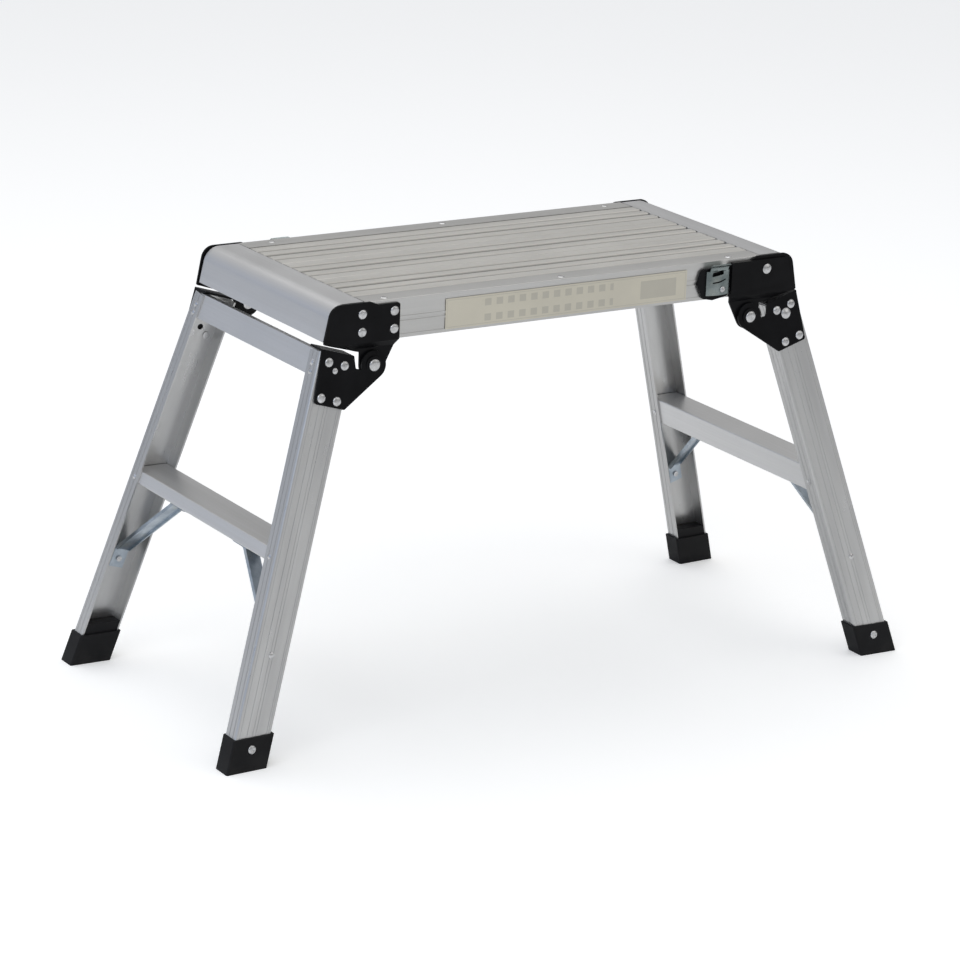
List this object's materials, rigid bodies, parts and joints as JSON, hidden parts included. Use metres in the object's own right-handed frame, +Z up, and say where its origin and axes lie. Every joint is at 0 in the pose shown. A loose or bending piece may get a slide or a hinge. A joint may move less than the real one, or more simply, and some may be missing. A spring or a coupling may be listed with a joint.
{
  "type": "folding work platform bench",
  "caption": "Low folding work platform with a ribbed metal deck, splayed channel leg frames hinged under each end, a step in each frame, lock levers and rubber feet.",
  "frame": {"origin": "on the floor, under the middle of the deck", "axes": "+X along the deck, +Y across it towards the rear rail, +Z up"},
  "size_m": [0.9358, 0.4228, 0.5085],
  "materials": {
    "deck_metal": "satin",
    "rail_metal": "satin",
    "leg_metal": "satin",
    "plate_paint": "semi_gloss",
    "rivet_metal": "satin",
    "zinc_steel": "satin",
    "rubber": "matte",
    "label": "gloss"
  },
  "bodies": {
    "deck": {"plank_front": "deck_metal", "plank_middle": "deck_metal", "plank_rear": "deck_metal", "side_rail_front": "rail_metal", "side_rail_rear": "rail_metal", "end_nosing_right": "rail_metal", "end_nosing_left": "rail_metal", "deck_bearer_left": "rail_metal", "deck_bearer_middle": "rail_metal", "deck_bearer_right": "rail_metal", "rail_top_rivets": "rivet_metal", "blank_label": "label", "platform_plate_front_left": "plate_paint", "platform_plate_rear_right": "plate_paint", "platform_plate_front_right": "plate_paint", "platform_plate_rear_left": "plate_paint", "plate_rivets": "rivet_metal", "pivot_rivets": "rivet_metal", "lever_axle_front": "rivet_metal", "lever_axle_rear": "rivet_metal", "lever_spring_front": "zinc_steel", "lever_spring_rear": "zinc_steel"},
    "right_leg_frame": {"leg_front_right": "leg_metal", "leg_rear_right": "leg_metal", "leg_plate_front_right": "plate_paint", "leg_plate_rear_right": "plate_paint", "strap_front_right": "zinc_steel", "strap_rear_right": "zinc_steel", "foot_front_right": "rubber", "foot_rear_right": "rubber", "rung_right": "rail_metal", "top_brace_right": "rail_metal", "leg_plate_rivets_right": "rivet_metal", "frame_rivets_right": "rivet_metal", "foot_rivets_right": "rivet_metal", "lock_pin_right": "rivet_metal", "locating_pin_right": "rivet_metal"},
    "left_leg_frame": {"leg_front_left": "leg_metal", "leg_rear_left": "leg_metal", "leg_plate_front_left": "plate_paint", "leg_plate_rear_left": "plate_paint", "strap_front_left": "zinc_steel", "strap_rear_left": "zinc_steel", "foot_front_left": "rubber", "foot_rear_left": "rubber", "rung_left": "rail_metal", "top_brace_left": "rail_metal", "leg_plate_rivets_left": "rivet_metal", "frame_rivets_left": "rivet_metal", "foot_rivets_left": "rivet_metal", "lock_pin_left": "rivet_metal", "locating_pin_left": "rivet_metal"},
    "front_lock_lever": {"lock_lever_front": "plate_paint", "thumb_clip_front": "zinc_steel", "thumb_clip_rivet_front": "rivet_metal"},
    "rear_lock_lever": {"lock_lever_rear": "plate_paint", "thumb_clip_rear": "zinc_steel", "thumb_clip_rivet_rear": "rivet_metal"}
  },
  "joints": [
    {"name": "right_fold", "type": "hinge", "parent": "deck", "child": "right_leg_frame", "pos_m": [0.258, 0, 0.435], "axis": [0, 1, 0], "range_deg": [0, 103]},
    {"name": "left_fold", "type": "hinge", "parent": "deck", "child": "left_leg_frame", "pos_m": [-0.258, 0, 0.435], "axis": [0, -1, 0], "range_deg": [0, 115]},
    {"name": "front_lock_press", "type": "hinge", "parent": "deck", "child": "front_lock_lever", "pos_m": [0.276, -0.15175, 0.4925], "axis": [0, 1, 0], "range_deg": [-4, 0], "stiffness_Nm_per_rad": 0.6},
    {"name": "rear_lock_press", "type": "hinge", "parent": "deck", "child": "rear_lock_lever", "pos_m": [-0.276, 0.15175, 0.4925], "axis": [0, -1, 0], "range_deg": [-4, 0], "stiffness_Nm_per_rad": 0.6}
  ]
}
